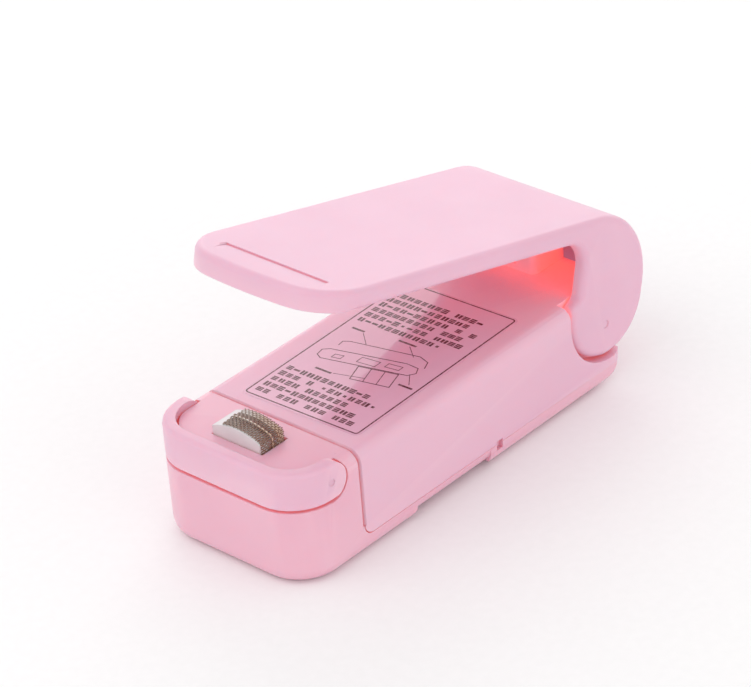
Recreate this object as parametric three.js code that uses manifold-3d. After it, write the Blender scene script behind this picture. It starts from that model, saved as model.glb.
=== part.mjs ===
// Handheld bag heat sealer, mm, +Z up, nose towards -Y, lever open as it rests.
import * as THREE from 'three';
import { mergeVertices } from 'three/addons/utils/BufferGeometryUtils.js';
import Module from 'manifold-3d';

const wasm = await Module();
wasm.setup();

// ---- driving dimensions -------------------------------------------------
const NOSE = -49.91;            // Y of the front face of the body and bail
const at = (s) => NOSE + s;     // distance s behind the front face, as a Y

const HALF_WIDTH = 19;
const BODY_LENGTH = 93;
const BODY_HEIGHT = 22;
const BODY_FRONT_RADIUS = 9;
const BODY_REAR_RADIUS = 5;
const TOP_EDGE = 2.6;
const BOTTOM_EDGE = 3;
const WALL = 2;
const SEAM_S = 16.4;            // upright joint between the nose and the upper shell
const SEAM_GAP = 0.22;
const RIM_TOP = 4;              // joint between the lower rim and the upper shell
const RIM_GAP = 0.05;
const SEAM_BEND = 2.2;          // radius where the upright joint turns into the level one
const COVER_HALF = 15.3;        // battery cover in the bottom
const COVER_FRONT_S = 20.2;
const GRIP_DEPTH = 1;           // finger recess across the bottom

const BAIL_BOTTOM = 15.85;
const BAIL_TOP = 23.35;
const BAIL_WALL = 2.5;
const BAIL_PIVOT_S = 9.1;
const BAIL_PIVOT_Z = 19.6;
const BAIL_TIP_RADIUS = 3.75;
const BAIL_INNER_RADIUS = 6.5;  // plan radius inside the bail's corners
const BAIL_GAP = 0.35;
const BAIL_SWING = 20;          // degrees that the bail lifts

const PIVOT_S = 88;             // lever hinge
const PIVOT_Z = 17.5;
const PIVOT_RADIUS = 1.5;
const OPEN_ANGLE = 14.2;        // lever plate tilt at rest, degrees
const LEVER_HALF = 18.6;
const LEVER_FRONT = -83.4;      // from the hinge, lever frame, at the middle of the bowed front
const LEVER_BOW = 1.9;          // how far the front's sides stand back from its middle
const LEVER_CORNER = 9;
const LEVER_TOP = 18.04;
const LEVER_UNDER_FRONT = 14.1;
const LEVER_UNDER_REAR = 13.9;
const LEVER_REAR_RADIUS = 15.65;
const LEVER_EDGE = 1.4;
const LEVER_SKIN = 2;
const ARM_END_RADIUS = 11.1;
const ARM_NECK = 8.9;           // from the hinge to the front edge of the arm above its round end
const ARM_THICKNESS = 2.4;
const POCKET_RADIUS = 11.8;
const POCKET_FLOOR = 15.9;      // half width of the body between the arms

const HEATER_X = -1;
const HEATER_S = 9.1;
const HEATER_HALF_X = 5.8;
const HEATER_HALF_Y = 3.1;
const HEATER_CROWN = 25.05;
const CROWN_RADIUS = 14;
const HEATER_SPRING_X = 3.9;    // either side of the block's middle
const PAD_Y = -78.2;            // middle of the pressure pad, lever frame
const PAD_BOTTOM = 13;

const CELL_RADIUS = 7.25;
const CELL_LENGTH = 50.5;
const CELL_X = 7.6;
const CELL_Z = 10.85;
const CELL_FRONT_S = 22.4;

// ---- helpers --------------------------------------------------------------
const degrees = (angle) => angle * Math.PI / 180;

function toSolid(geometry) {
  const bare = new THREE.BufferGeometry();
  bare.setAttribute('position', geometry.getAttribute('position'));
  if (geometry.index) bare.setIndex(geometry.index);
  const merged = mergeVertices(bare, 1e-4);
  const mesh = new wasm.Mesh({
    numProp: 3,
    vertProperties: new Float32Array(merged.getAttribute('position').array),
    triVerts: new Uint32Array(merged.index.array),
  });
  return new wasm.Manifold(mesh);
}

function toGeometry(solid) {
  const mesh = solid.getMesh();
  const geometry = new THREE.BufferGeometry();
  geometry.setAttribute('position', new THREE.BufferAttribute(new Float32Array(mesh.vertProperties), 3));
  geometry.setIndex(new THREE.BufferAttribute(new Uint32Array(mesh.triVerts), 1));
  const flat = geometry.toNonIndexed();
  flat.computeVertexNormals();
  return flat;
}

// Runs a closed outline along an axis. Outlines are (x, y), (y, z) or (x, z).
function prism(axis, shape, low, high, curveSegments = 10) {
  const depth = high - low;
  const geometry = new THREE.ExtrudeGeometry(shape, { depth, bevelEnabled: false, curveSegments });
  const turn = new THREE.Matrix4();
  if (axis === 'x') {
    turn.makeBasis(new THREE.Vector3(0, 1, 0), new THREE.Vector3(0, 0, 1), new THREE.Vector3(1, 0, 0));
    turn.setPosition(low, 0, 0);
  } else if (axis === 'y') {
    turn.makeBasis(new THREE.Vector3(1, 0, 0), new THREE.Vector3(0, 0, 1), new THREE.Vector3(0, -1, 0));
    turn.setPosition(0, high, 0);
  } else {
    turn.setPosition(0, 0, low);
  }
  geometry.applyMatrix4(turn);
  return toSolid(geometry);
}

function box(x0, x1, y0, y1, z0, z1) {
  const geometry = new THREE.BoxGeometry(x1 - x0, y1 - y0, z1 - z0);
  geometry.translate((x0 + x1) / 2, (y0 + y1) / 2, (z0 + z1) / 2);
  return toSolid(geometry);
}

function rodX(x0, x1, y, z, radius, sides = 24) {
  const geometry = new THREE.CylinderGeometry(radius, radius, x1 - x0, sides);
  geometry.rotateZ(Math.PI / 2);
  geometry.translate((x0 + x1) / 2, y, z);
  return toSolid(geometry);
}

function union(...solids) {
  return solids.reduce((sum, solid) => sum.add(solid));
}

// The largest piece of a cut solid, without the loose slivers where two curved cuts graze.
function mainPiece(solid) {
  return solid.decompose().reduce((best, piece) => (piece.volume() > best.volume() ? piece : best));
}

// Joins rings of equal point count into one body with flat ends.
function loft(rings) {
  const positions = [];
  const index = [];
  const count = rings[0].length;
  rings.forEach((ring) => ring.forEach((p) => positions.push(p.x, p.y, p.z)));
  for (let k = 0; k + 1 < rings.length; k += 1) {
    for (let i = 0; i < count; i += 1) {
      const a = k * count + i;
      const b = k * count + (i + 1) % count;
      index.push(a, b, b + count, a, b + count, a + count);
    }
  }
  const last = (rings.length - 1) * count;
  const alongX = rings[0].every((p) => p.x === rings[0][0].x);
  const flatten = (p) => (alongX ? new THREE.Vector2(p.y, p.z) : new THREE.Vector2(p.x, p.y));
  THREE.ShapeUtils.triangulateShape(rings[0].map(flatten), []).forEach(([a, b, c]) => index.push(a, c, b));
  THREE.ShapeUtils.triangulateShape(rings[rings.length - 1].map(flatten), [])
    .forEach(([a, b, c]) => index.push(last + a, last + b, last + c));
  const geometry = new THREE.BufferGeometry();
  geometry.setAttribute('position', new THREE.Float32BufferAttribute(positions, 3));
  geometry.setIndex(index);
  return toSolid(geometry);
}

function arc(cx, cy, radius, from, to, steps) {
  const points = [];
  for (let i = 0; i <= steps; i += 1) {
    const angle = degrees(from + (to - from) * i / steps);
    points.push(new THREE.Vector2(cx + radius * Math.cos(angle), cy + radius * Math.sin(angle)));
  }
  return points;
}

// Rounded rectangle, front corners towards -y, pulled in by inset all round.
function planOutline(half, y0, y1, frontRadius, rearRadius, inset = 0, steps = 8) {
  const h = half - inset;
  const low = y0 + inset;
  const high = y1 - inset;
  const rf = Math.max(frontRadius - inset, 0.05);
  const rr = Math.max(rearRadius - inset, 0.05);
  return [
    ...arc(-h + rf, low + rf, rf, 180, 270, steps),
    ...arc(h - rf, low + rf, rf, 270, 360, steps),
    ...arc(h - rr, high - rr, rr, 0, 90, steps),
    ...arc(-h + rr, high - rr, rr, 90, 180, steps),
  ];
}

const levelRing = (outline, z) => outline.map((p) => new THREE.Vector3(p.x, p.y, z));
const sideRing = (outline, x) => outline.map((p) => new THREE.Vector3(x, p.x, p.y));

// Heights and insets of a quarter-round edge, from the widest level outwards.
function edgeSteps(radius, steps) {
  const list = [];
  for (let i = 0; i <= steps; i += 1) {
    const angle = Math.PI / 2 * i / steps;
    list.push({ rise: radius * Math.sin(angle), inset: radius * (1 - Math.cos(angle)) });
  }
  return list;
}

function softPrism(outlineAt, z0, z1, bottomEdge, topEdge, steps = 5) {
  const bottom = edgeSteps(bottomEdge, steps).reverse()
    .map(({ rise, inset }) => levelRing(outlineAt(inset), z0 + bottomEdge - rise));
  const top = edgeSteps(topEdge, steps)
    .map(({ rise, inset }) => levelRing(outlineAt(inset), z1 - topEdge + rise));
  return loft([...bottom, ...top]);
}

function coil(radius, wire, turns, height, sides = 6, perTurn = 12) {
  class Helix extends THREE.Curve {
    getPoint(t, target = new THREE.Vector3()) {
      const angle = turns * 2 * Math.PI * t;
      return target.set(radius * Math.cos(angle), radius * Math.sin(angle), height * t);
    }
  }
  return wireAlong(new Helix(), wire, Math.round(turns * perTurn), sides);
}

function wireAlong(curve, radius, steps, sides = 6) {
  const section = new THREE.Shape(arc(0, 0, radius, 0, 360 - 360 / sides, sides - 1));
  return new THREE.ExtrudeGeometry(section, { steps, extrudePath: curve, bevelEnabled: false });
}

// ---- body blank shared by the nose, the shell and the cover ----------------
function bodyBlank(inset = 0) {
  const outline = (more) => planOutline(
    HALF_WIDTH, at(0), at(BODY_LENGTH), BODY_FRONT_RADIUS, BODY_REAR_RADIUS, inset + more,
  );
  const soft = softPrism(outline, inset, BODY_HEIGHT - inset, BOTTOM_EDGE, TOP_EDGE);
  const side = new THREE.Shape([
    new THREE.Vector2(at(-5), inset),
    ...arc(at(BODY_LENGTH - 11), 11, 11 - inset, 270, 360, 10),
    ...arc(at(BODY_LENGTH - 3), BODY_HEIGHT - 3, 3 - inset, 0, 90, 4),
    new THREE.Vector2(at(-5), BODY_HEIGHT - inset),
  ]);
  return soft.intersect(prism('x', side, -25, 25));
}

// Shallow groove with sloping sides round the body, over the upright joint.
function seamGroove(blank) {
  const steps = [[0.42, 0.1], [0.3, 0.2], [0.2, 0.32]];
  return union(...steps.map(([half, depth]) => {
    const slab = box(-25, 25, at(SEAM_S - half), at(SEAM_S + half), RIM_TOP + SEAM_BEND, 30);
    return slab.intersect(blank).subtract(bodyBlank(depth));
  }));
}

// The joint seen from the side: down behind the nose, round the bend and back along the rim.
function jointLine(offset, rimOffset) {
  const radius = SEAM_BEND - offset;
  const bend = arc(at(SEAM_S + SEAM_BEND), RIM_TOP + SEAM_BEND, radius, 180, 270, 6);
  bend.forEach((p) => { p.y = Math.max(p.y, RIM_TOP + rimOffset); });
  return bend;
}

function fingerRecess() {
  const side = new THREE.Shape([
    new THREE.Vector2(at(28.6), -1),
    new THREE.Vector2(at(28.6), 0),
    new THREE.Vector2(at(30.6), GRIP_DEPTH),
    new THREE.Vector2(at(30.6), RIM_TOP - 0.1),
    new THREE.Vector2(at(51.4), RIM_TOP - 0.1),
    new THREE.Vector2(at(51.4), GRIP_DEPTH),
    new THREE.Vector2(at(55.6), 0),
    new THREE.Vector2(at(55.6), -1),
  ]);
  return prism('x', side, -25, 25).subtract(bodyBlank().translate(0, 0, GRIP_DEPTH));
}

// Small catch windows on both sides, across the rim joint.
function catchWindows() {
  return union(...[-1, 1].map((side) => box(
    side * 21.6 - 3.5, side * 21.6 + 3.5, at(53.2), at(54.9), 2.7, 4.7,
  )));
}

// ---- nose with the lower rim ---------------------------------------------
// Front edge of the nose plate in plan, clear of the bail's inside as the bail lifts.
function plateOutline() {
  const half = HALF_WIDTH - BAIL_WALL - 0.15;
  const centreX = HALF_WIDTH - BAIL_WALL - BAIL_INNER_RADIUS;
  const centreY = BAIL_PIVOT_S - BAIL_WALL - BAIL_INNER_RADIUS;
  const lift = (BODY_HEIGHT - BAIL_PIVOT_Z) * Math.sin(degrees(BAIL_SWING)) + 0.12;
  const corner = [];
  for (let i = 0; i <= 10; i += 1) {
    const angle = degrees(9 * i);
    const reach = centreY + BAIL_INNER_RADIUS * Math.cos(angle);
    const forward = (reach - lift) / Math.cos(degrees(BAIL_SWING));
    corner.push(new THREE.Vector2(
      Math.min(half, centreX + BAIL_INNER_RADIUS * Math.sin(angle)),
      at(BAIL_PIVOT_S - forward),
    ));
  }
  const mirrored = corner.map((p) => new THREE.Vector2(-p.x, p.y)).reverse();
  return [...mirrored, ...corner, new THREE.Vector2(half, at(40)), new THREE.Vector2(-half, at(40))];
}

function bailRecess() {
  const side = union(
    box(-25, 25, at(-5), at(BAIL_PIVOT_S), BAIL_BOTTOM - BAIL_GAP, 30),
    rodX(-25, 25, at(BAIL_PIVOT_S), BAIL_PIVOT_Z, BAIL_TIP_RADIUS + 0.45, 48),
  );
  return side.subtract(prism('z', new THREE.Shape(plateOutline()), -5, 40));
}

function noseFrame(blank) {
  const front = new THREE.Shape([
    new THREE.Vector2(at(-5), -5),
    new THREE.Vector2(at(120), -5),
    new THREE.Vector2(at(120), RIM_TOP - RIM_GAP / 2),
    ...jointLine(-SEAM_GAP / 2, -RIM_GAP / 2).reverse(),
    new THREE.Vector2(at(SEAM_S - SEAM_GAP / 2), 40),
    new THREE.Vector2(at(-5), 40),
  ]);
  const lower = new THREE.Shape(planOutline(HALF_WIDTH - WALL, at(WALL), at(COVER_FRONT_S), 7, 0.5));
  const upper = new THREE.Shape(planOutline(14.1, at(4.9), at(40), 5.4, 3));
  const window = box(
    HEATER_X - HEATER_HALF_X - 0.25, HEATER_X + HEATER_HALF_X + 0.65,
    at(HEATER_S - HEATER_HALF_Y - 0.2), at(HEATER_S + HEATER_HALF_Y + 0.4), 15, 30,
  );
  let nose = blank.intersect(prism('x', front, -25, 25)).subtract(bailRecess());
  nose = nose.subtract(prism('z', lower, WALL, 13.4)).subtract(prism('z', upper, 13, BODY_HEIGHT - WALL));
  nose = nose.subtract(window);
  nose = nose.subtract(box(-COVER_HALF - 0.15, COVER_HALF + 0.15, at(COVER_FRONT_S - 0.2), at(120), -1, 10));
  nose = nose.subtract(box(-16.1, 16.1, at(COVER_FRONT_S - 0.2), at(120), 1.15, 1.95));
  nose = nose.subtract(seamGroove(blank)).subtract(fingerRecess()).subtract(catchWindows());
  const posts = [-1, 1].map((side) => toSolid(
    new THREE.CylinderGeometry(0.8, 0.8, 5, 12).rotateX(Math.PI / 2)
      .translate(HEATER_X + side * HEATER_SPRING_X, at(HEATER_S), 4),
  ));
  nose = union(nose, ...posts);
  [-1, 1].forEach((side) => {
    nose = nose.subtract(rodX(side * 16 - 4, side * 16 + 4, at(BAIL_PIVOT_S), BAIL_PIVOT_Z, 1.15));
  });
  return nose;
}

// ---- upper shell ---------------------------------------------------------
function armPockets() {
  const front = PIVOT_S - POCKET_RADIUS;
  const outline = new THREE.Shape([
    ...arc(at(PIVOT_S), PIVOT_Z, POCKET_RADIUS, 180, 270, 16),
    new THREE.Vector2(at(110), PIVOT_Z - POCKET_RADIUS),
    new THREE.Vector2(at(110), 40),
    new THREE.Vector2(at(front - 0.4), 40),
    ...arc(at(front - 0.4), BODY_HEIGHT - 0.4, 0.4, 90, 0, 3),
  ]);
  return union(prism('x', outline, POCKET_FLOOR, 25), prism('x', outline, -25, -POCKET_FLOOR));
}

function springTower() {
  const outline = (inset) => planOutline(5.5, at(82), at(92), 1.5, 1.5, inset, 3);
  return softPrism(outline, BODY_HEIGHT - 1.5, 28, 0.01, 0.8, 3);
}

function bodyShell(blank) {
  const rear = new THREE.Shape([
    new THREE.Vector2(at(SEAM_S + SEAM_GAP / 2), 40),
    ...jointLine(SEAM_GAP / 2, RIM_GAP / 2),
    new THREE.Vector2(at(120), RIM_TOP + RIM_GAP / 2),
    new THREE.Vector2(at(120), 40),
  ]);
  let shell = blank.intersect(prism('x', rear, -25, 25)).subtract(armPockets());
  shell = shell.subtract(box(-17, 17, at(18.3), at(74.3), -1, BODY_HEIGHT - WALL));
  shell = shell.subtract(box(-14, 14, at(76), at(90.6), -1, BODY_HEIGHT - WALL));
  shell = union(shell, springTower());
  shell = shell.subtract(box(-3.7, 3.7, at(83.6), at(90.4), 19, 26.6));
  shell = shell.subtract(box(-1.1, 1.1, at(80), at(86), 23.4, 30));
  shell = shell.subtract(rodX(-25, 25, at(PIVOT_S), PIVOT_Z, PIVOT_RADIUS + 0.05));
  shell = shell.subtract(seamGroove(blank)).subtract(catchWindows());
  shell = shell.subtract(box(-13.6, 13.6, at(15), at(20), -1, 8));
  const fins = [-15.9, 0, 15.9].map((x) => box(x - 0.35, x + 0.35, at(30), at(66), 17.4, BODY_HEIGHT - 1));
  return union(shell, ...fins);
}

// ---- battery cover: a panel in the bottom, on tongues that slide in the rim -----
function batteryCover(blank) {
  const panel = box(-COVER_HALF, COVER_HALF, at(COVER_FRONT_S), at(120), -5, 2.2);
  const heel = box(-COVER_HALF, COVER_HALF, at(84), at(120), -5, RIM_TOP - 0.1);
  let cover = blank.intersect(union(panel, heel)).subtract(fingerRecess());
  [-1, 1].forEach((side) => {
    const x = side * (COVER_HALF + 0.2);
    cover = union(cover, box(x - 0.45, x + 0.45, at(24), at(80), 1.3, 1.8));
  });
  return cover;
}

// ---- bail ---------------------------------------------------------------
function bail() {
  const outline = (inset) => planOutline(HALF_WIDTH, at(0), at(40), BODY_FRONT_RADIUS, 5, inset);
  const band = softPrism(outline, BAIL_BOTTOM, BAIL_TOP, 0.6, 0.9, 3);
  const inner = new THREE.Shape(
    planOutline(HALF_WIDTH - BAIL_WALL, at(BAIL_WALL), at(50), BAIL_INNER_RADIUS, 3),
  );
  const ends = union(
    box(-25, 25, at(-5), at(BAIL_PIVOT_S), 0, 40),
    rodX(-25, 25, at(BAIL_PIVOT_S), BAIL_PIVOT_Z, BAIL_TIP_RADIUS, 40),
  );
  let solid = band.subtract(prism('z', inner, 0, 40)).intersect(ends);
  [-1, 1].forEach((side) => {
    const face = side * HALF_WIDTH;
    const dimple = rodX(face - 0.15, face + 0.15, at(BAIL_PIVOT_S), BAIL_PIVOT_Z, 0.7);
    solid = solid.subtract(rodX(side * 16.2 - 2, side * 16.2 + 2, at(BAIL_PIVOT_S), BAIL_PIVOT_Z, 1.2));
    solid = solid.subtract(dimple);
  });
  return solid;
}

// ---- lever, in its own frame: hinge at the origin, plate level -------------
function leverOutline(inset) {
  const rearY = ARM_END_RADIUS - LEVER_REAR_RADIUS;
  const rearZ = LEVER_TOP - LEVER_REAR_RADIUS;
  return [
    new THREE.Vector2(-110, -ARM_END_RADIUS + inset),
    ...arc(0, 0, ARM_END_RADIUS - inset, 270, 360, 12),
    ...arc(rearY, rearZ, LEVER_REAR_RADIUS - inset, 0, 90, 14),
    new THREE.Vector2(-110, LEVER_TOP - inset),
  ];
}

// The lever in plan, its front edge bowed forward in the middle.
function leverPlan(half, front, rear, corner, rearCorner, inset = 0) {
  const steps = 8;
  const outline = planOutline(half, front, rear, corner, rearCorner, inset, steps);
  const shares = [-0.75, -0.5, -0.25, 0, 0.25, 0.5, 0.75];
  const between = shares.map((share) => new THREE.Vector2(share * (half - corner), front + inset));
  outline.splice(steps + 1, 0, ...between);
  outline.filter((p) => p.y < front / 2).forEach((p) => {
    p.y += LEVER_BOW * (p.x / LEVER_HALF) ** 2;
  });
  return outline;
}

// What is cut away in front of the arms: up round their ends, in to the neck, along the underside.
function leverNotchOutline(grow) {
  const cornerRadius = 5;
  const waist = new THREE.CubicBezierCurve(
    new THREE.Vector2(-ARM_END_RADIUS, 0),
    new THREE.Vector2(-ARM_END_RADIUS, 1.5),
    new THREE.Vector2(-ARM_NECK, 1.7),
    new THREE.Vector2(-ARM_NECK, 3.4),
  ).getPoints(8).slice(1).map((p) => new THREE.Vector2(p.x + grow, p.y));
  return [
    new THREE.Vector2(-110, -60),
    new THREE.Vector2(0, -60),
    ...arc(0, 0, ARM_END_RADIUS - grow, 270, 180, 12),
    ...waist,
    ...arc(-ARM_NECK - cornerRadius, LEVER_UNDER_REAR - cornerRadius, cornerRadius + grow, 0, 90, 7),
    new THREE.Vector2(LEVER_FRONT, LEVER_UNDER_FRONT + grow),
    new THREE.Vector2(-110, LEVER_UNDER_FRONT + grow),
  ];
}

// Rings along X with a quarter-round towards both sides.
function acrossWithEdges(outlineAt, half, radius, beyond, steps = 5) {
  const right = edgeSteps(radius, steps).map(({ rise, inset }) => ({ x: half - radius + rise, inset }));
  const left = right.map(({ x, inset }) => ({ x: -x, inset })).reverse();
  const list = [...left, ...right];
  if (beyond) {
    list.unshift({ x: -half - beyond, inset: radius });
    list.push({ x: half + beyond, inset: radius });
  }
  return loft(list.map(({ x, inset }) => sideRing(outlineAt(inset), x)));
}

// A scoop for the thumb, deepest at its rear edge, with a fine slit that hooks forward at the left.
function thumbScoop() {
  const rear = -75.5;
  const left = -12;
  const right = 12.7;
  const reach = 4.5;
  const floor = [];
  for (let i = 0; i <= 8; i += 1) {
    const share = i / 8;
    floor.push(new THREE.Vector2(rear - reach * share, LEVER_TOP - 0.3 * (1 - share) ** 2));
  }
  const above = [new THREE.Vector2(rear - reach, 22), new THREE.Vector2(rear, 22)];
  const slit = new THREE.Shape([
    new THREE.Vector2(right, rear - 0.1),
    new THREE.Vector2(right, rear + 0.15),
    new THREE.Vector2(left, rear + 0.15),
    new THREE.Vector2(left - 0.55, rear - 1.3),
    new THREE.Vector2(left - 0.3, rear - 1.3),
    new THREE.Vector2(left + 0.2, rear - 0.1),
  ]);
  return union(
    prism('x', new THREE.Shape([...floor, ...above]), left + 0.2, right),
    prism('z', slit, LEVER_TOP - 0.8, 22),
  );
}

function leverShell() {
  const sides = acrossWithEdges(leverOutline, LEVER_HALF, LEVER_EDGE, 0);
  const plan = (inset) => leverPlan(LEVER_HALF, LEVER_FRONT, 14, LEVER_CORNER, 4, inset);
  const rounded = softPrism(plan, -30, LEVER_TOP, 0.01, LEVER_EDGE);
  let lever = sides.intersect(rounded);
  lever = lever.subtract(acrossWithEdges(leverNotchOutline, LEVER_HALF, 1.6, 8, 4));

  const inside = leverOutline(LEVER_SKIN);
  inside[0].y = -60;
  inside.splice(1, 0, new THREE.Vector2(0, -60));
  const room = new THREE.Shape(
    leverPlan(LEVER_HALF - LEVER_SKIN, LEVER_FRONT + LEVER_SKIN, 16, LEVER_CORNER - LEVER_SKIN, 2),
  );
  const armRoom = LEVER_HALF - ARM_THICKNESS;
  const hollow = prism('x', new THREE.Shape(inside), -25, 25).intersect(prism('z', room, -60, 30));
  lever = lever.subtract(hollow.intersect(box(-armRoom, armRoom, -90, 30, -60, 30)));
  lever = lever.subtract(box(-armRoom, armRoom, -20, 30, -60, 1.5));

  const ribs = [-10.5, 10.5].map((x) => box(x - 0.6, x + 0.6, LEVER_FRONT + 1.3, -10, 15.1, LEVER_TOP - 1));
  lever = union(lever, ...ribs);
  lever = lever.subtract(thumbScoop());
  [-1, 1].forEach((side) => {
    lever = lever.subtract(rodX(side * LEVER_HALF - 0.15, side * LEVER_HALF + 0.15, 0, -4.3, 0.8));
  });
  return lever.subtract(rodX(-armRoom - 1.7, armRoom + 1.7, 0, 0, PIVOT_RADIUS + 0.06));
}

function padHolder() {
  const top = LEVER_TOP - LEVER_SKIN - 0.1;
  const body = box(-8, 8, PAD_Y - 2.6, PAD_Y + 2.6, PAD_BOTTOM + 0.9, top);
  return body.subtract(box(-9, 9, PAD_Y - 2.15, PAD_Y + 2.15, PAD_BOTTOM, PAD_BOTTOM + 2.4));
}

function pressurePad() {
  const outline = new THREE.Shape([
    new THREE.Vector2(PAD_Y - 2, PAD_BOTTOM + 2.2),
    new THREE.Vector2(PAD_Y - 2, PAD_BOTTOM + 0.4),
    new THREE.Vector2(PAD_Y - 1.5, PAD_BOTTOM),
    new THREE.Vector2(PAD_Y + 1.5, PAD_BOTTOM),
    new THREE.Vector2(PAD_Y + 2, PAD_BOTTOM + 0.4),
    new THREE.Vector2(PAD_Y + 2, PAD_BOTTOM + 2.2),
  ]);
  return prism('x', outline, -7.6, 7.6);
}

// ---- heater ---------------------------------------------------------------
// Height of the crowned top of the block at a distance x from its middle.
const crownHeight = (x, raise = 0) => HEATER_CROWN + raise
  - CROWN_RADIUS - raise + Math.sqrt((CROWN_RADIUS + raise) ** 2 - x * x);

function ceramicBlock() {
  const outline = new THREE.Shape([
    new THREE.Vector2(-HEATER_HALF_X, 13),
    new THREE.Vector2(HEATER_HALF_X, 13),
    new THREE.Vector2(HEATER_HALF_X, crownHeight(HEATER_HALF_X - 0.7) - 0.5),
    ...crownPoints(-HEATER_HALF_X, HEATER_HALF_X - 0.7, 0, 14).reverse(),
  ]);
  const upright = prism('y', outline, at(HEATER_S - HEATER_HALF_Y), at(HEATER_S + HEATER_HALF_Y));
  const flange = box(
    -HEATER_HALF_X - 2.4, HEATER_HALF_X + 2.4,
    at(HEATER_S - HEATER_HALF_Y), at(HEATER_S + HEATER_HALF_Y), 12, 15.4,
  );
  let block = union(upright, flange);
  [-1, 1].forEach((side) => {
    const well = new THREE.CylinderGeometry(1.9, 1.9, 3, 16).rotateX(Math.PI / 2);
    block = block.subtract(toSolid(well.translate(side * HEATER_SPRING_X, at(HEATER_S), 12)));
  });
  return block;
}

function crownPoints(x0, x1, raise, steps) {
  const points = [];
  for (let i = 0; i <= steps; i += 1) {
    const x = x0 + (x1 - x0) * i / steps;
    points.push(new THREE.Vector2(x, crownHeight(x, raise)));
  }
  return points;
}

// A strip laid over the crown from x0 to the block's right end, then down beside it.
function crownStrip(x0, low, high, y0, y1, legX, legBottom) {
  const x1 = HEATER_HALF_X - 0.7;
  const outer = crownPoints(x0, x1, high, 14);
  const inner = crownPoints(x0, x1, low, 14);
  const outerLeg = legX + high - low;
  const shoulder = crownHeight(x1) - 0.5;
  outer.push(new THREE.Vector2(outerLeg, shoulder), new THREE.Vector2(outerLeg, legBottom));
  inner.push(new THREE.Vector2(legX, shoulder - 0.05), new THREE.Vector2(legX, legBottom));
  return prism('y', new THREE.Shape([...outer, ...inner.reverse()]), y0, y1);
}

function heatingRibbon() {
  return crownStrip(-3.1, 0.05, 0.17, at(HEATER_S - 0.9), at(HEATER_S + 0.9), 5.88, 16.4);
}

function ptfeCloth() {
  const y0 = at(HEATER_S - HEATER_HALF_Y + 0.1);
  const y1 = at(HEATER_S + HEATER_HALF_Y + 0.2);
  return crownStrip(-3.3, 0.22, 0.44, y0, y1, 6.06, 17.6);
}

function heaterSpring(x) {
  const geometry = coil(1.35, 0.22, 6, 10.7);
  geometry.translate(x, at(HEATER_S), 2.4);
  return geometry;
}

// ---- power ---------------------------------------------------------------
function cell(flip) {
  const profile = [
    new THREE.Vector2(0, 0),
    new THREE.Vector2(5.2, 0),
    new THREE.Vector2(6.9, 0.4),
    new THREE.Vector2(CELL_RADIUS, 0.9),
    new THREE.Vector2(CELL_RADIUS, CELL_LENGTH - 2.6),
    new THREE.Vector2(6.7, CELL_LENGTH - 1.9),
    new THREE.Vector2(2.7, CELL_LENGTH - 1.6),
    new THREE.Vector2(2.6, CELL_LENGTH - 0.2),
    new THREE.Vector2(2.2, CELL_LENGTH),
    new THREE.Vector2(0, CELL_LENGTH),
  ];
  const geometry = new THREE.LatheGeometry(profile, 28);
  if (flip) geometry.rotateX(Math.PI).translate(0, CELL_LENGTH, 0);
  return geometry;
}

function contactPlate(x0, x1, s) {
  const outline = new THREE.Shape([
    new THREE.Vector2(x0, 6.4),
    new THREE.Vector2(x1, 6.4),
    new THREE.Vector2(x1, 14.6),
    new THREE.Vector2(x1 - 1.2, 15.8),
    new THREE.Vector2(x0 + 1.2, 15.8),
    new THREE.Vector2(x0, 14.6),
  ]);
  return prism('y', outline, at(s), at(s + 0.4));
}

function contactSpring(length) {
  class Cone extends THREE.Curve {
    getPoint(t, target = new THREE.Vector3()) {
      const angle = 3.5 * 2 * Math.PI * t;
      const radius = 4.6 - 2.2 * t;
      return target.set(radius * Math.cos(angle), length * t, radius * Math.sin(angle));
    }
  }
  return wireAlong(new Cone(), 0.3, 42);
}

function leadWire(points, radius = 0.55) {
  const curve = new THREE.CatmullRomCurve3(points.map(([x, s, z]) => new THREE.Vector3(x, at(s), z)));
  return wireAlong(curve, radius, 14, 8);
}

function switchLeaf(side) {
  const outline = new THREE.Shape([
    new THREE.Vector2(at(4.4), 9.0),
    new THREE.Vector2(at(11.2), 10.3),
    new THREE.Vector2(at(15.6), 8.6),
    new THREE.Vector2(at(15.6), 8.9),
    new THREE.Vector2(at(11.2), 10.6),
    new THREE.Vector2(at(4.4), 9.3),
  ]);
  return prism('x', outline, side * 7.2 - 0.9, side * 7.2 + 0.9);
}

// ---- lever return spring around the hinge rod --------------------------------
function returnSpring() {
  const y = at(PIVOT_S);
  const radius = 2.1;
  const turns = 4;
  const perTurn = 12;
  const points = [
    new THREE.Vector3(2.4, y - radius - 0.3, 8.5),
    new THREE.Vector3(2.4, y - radius - 0.1, 13),
  ];
  for (let i = 0; i <= turns * perTurn; i += 1) {
    const angle = Math.PI - 2 * Math.PI * i / perTurn;
    const x = 2.4 - 4.8 * i / (turns * perTurn);
    points.push(new THREE.Vector3(x, y + radius * Math.cos(angle), PIVOT_Z + radius * Math.sin(angle)));
  }
  points.push(new THREE.Vector3(-1.6, y - radius - 0.6, 22));
  points.push(new THREE.Vector3(-0.3, y - radius - 1.2, 26.5));
  points.push(new THREE.Vector3(0, y - radius - 1.6, 34.2));
  return wireAlong(new THREE.CatmullRomCurve3(points, false, 'centripetal'), 0.34, 120, 6);
}

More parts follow.
